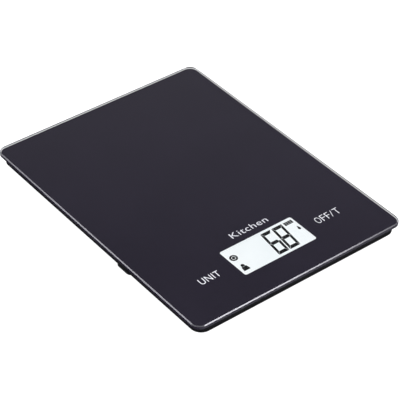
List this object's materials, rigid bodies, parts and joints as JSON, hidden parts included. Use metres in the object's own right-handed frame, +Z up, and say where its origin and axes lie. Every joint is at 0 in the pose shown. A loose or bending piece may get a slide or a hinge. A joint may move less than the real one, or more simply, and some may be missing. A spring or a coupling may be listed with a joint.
{
  "type": "kitchen scale",
  "caption": "Flat digital kitchen scale: a black back-printed glass platform with a lit display and touch keys, on a load cell above a low footed base.",
  "frame": {"origin": "on the table surface under the centre of the glass platform", "axes": "+X to the right along the display edge, +Y from the display edge to the back, +Z up"},
  "size_m": [0.165, 0.22, 0.016],
  "materials": {
    "clear_glass": "polished tempered glass, back-printed dark violet-black with a clear margin",
    "black_plastic": "black moulded ABS, fine texture",
    "base_plastic": "black moulded ABS, matt spark texture",
    "holder_plastic": "black moulded plastic",
    "foot_rubber": "matt moulded rubber",
    "foam_tape": "black foam tape",
    "zinc_steel": "zinc-plated steel",
    "cell_steel": "nickel-plated steel can",
    "spring_metal": "plated spring steel",
    "beam_aluminium": "milled aluminium",
    "white_sealant": "white silicone sealant",
    "display_glass": "thin display glass",
    "display_film": "satin film",
    "white_plastic": "white moulded plastic",
    "connector_rubber": "layered conductive elastomer",
    "board_laminate": "green solder mask on laminate",
    "black_epoxy": "black epoxy",
    "grey_insulation": "grey PVC",
    "black_insulation": "black PVC",
    "red_insulation": "red PVC"
  },
  "bodies": {
    "base": {"base_plate": "base_plastic", "rubber_foot_front_left": "foot_rubber", "rubber_foot_front_right": "foot_rubber", "rubber_foot_rear_left": "foot_rubber", "rubber_foot_rear_right": "foot_rubber", "rubber_foot_left_lug": "foot_rubber", "rubber_foot_right_lug": "foot_rubber", "fixed_end_plate": "zinc_steel", "fixed_end_screw_1": "zinc_steel", "fixed_end_screw_2": "zinc_steel", "overload_stop_screw": "zinc_steel", "load_cell": "beam_aluminium", "gauge_sealant_top": "white_sealant", "gauge_sealant_bottom": "white_sealant"},
    "platform": {"glass_platform": "clear_glass", "platform_tape": "foam_tape", "platform_plate_tape": "foam_tape", "lcd_gasket": "foam_tape", "platform_rim": "black_plastic", "bottom_cover": "base_plastic", "battery_holder": "holder_plastic", "cover_screw_1": "zinc_steel", "cover_screw_2": "zinc_steel", "cover_screw_3": "zinc_steel", "cover_screw_4": "zinc_steel", "cover_screw_5": "zinc_steel", "cover_screw_6": "zinc_steel", "board_screw_1": "zinc_steel", "board_screw_2": "zinc_steel", "board_screw_3": "zinc_steel", "board_screw_4": "zinc_steel", "live_end_screw_1": "zinc_steel", "live_end_screw_2": "zinc_steel", "platform_plate": "zinc_steel", "clock_crystal": "zinc_steel", "coin_cell": "cell_steel", "battery_contact_negative": "spring_metal", "battery_contact_positive": "spring_metal", "unit_touch_spring": "spring_metal", "tare_touch_spring": "spring_metal", "load_cell_cable": "grey_insulation", "battery_lead_black": "black_insulation", "battery_lead_red": "red_insulation", "lcd_front_glass": "display_glass", "lcd_rear_glass": "display_glass", "lcd_front_polariser": "display_film", "lcd_rear_polariser": "display_film", "backlight_diffuser": "display_film", "backlight_guide": "white_plastic", "backlight_reflector": "white_plastic", "backlight_lamp_left": "white_plastic", "backlight_lamp_right": "white_plastic", "lcd_holder": "white_plastic", "lcd_connector_strip": "connector_rubber", "circuit_board": "board_laminate", "processor_epoxy": "black_epoxy", "converter_chip": "black_epoxy", "filter_capacitor": "black_epoxy"},
    "battery_cap": {"battery_cap": "base_plastic"}
  },
  "joints": [
    {"name": "platform_press", "type": "slide", "parent": "base", "child": "platform", "axis": [0, 0, 1], "range_m": [-0.0005, 0], "stiffness_N_per_m": 100000, "springref_m": 0.00006, "deforming": ["load_cell"]},
    {"name": "battery_cap_turn", "type": "hinge", "parent": "platform", "child": "battery_cap", "pos_m": [0.042, -0.024, 0.0055], "axis": [0, 0, -1], "range_deg": [0, 45]}
  ]
}
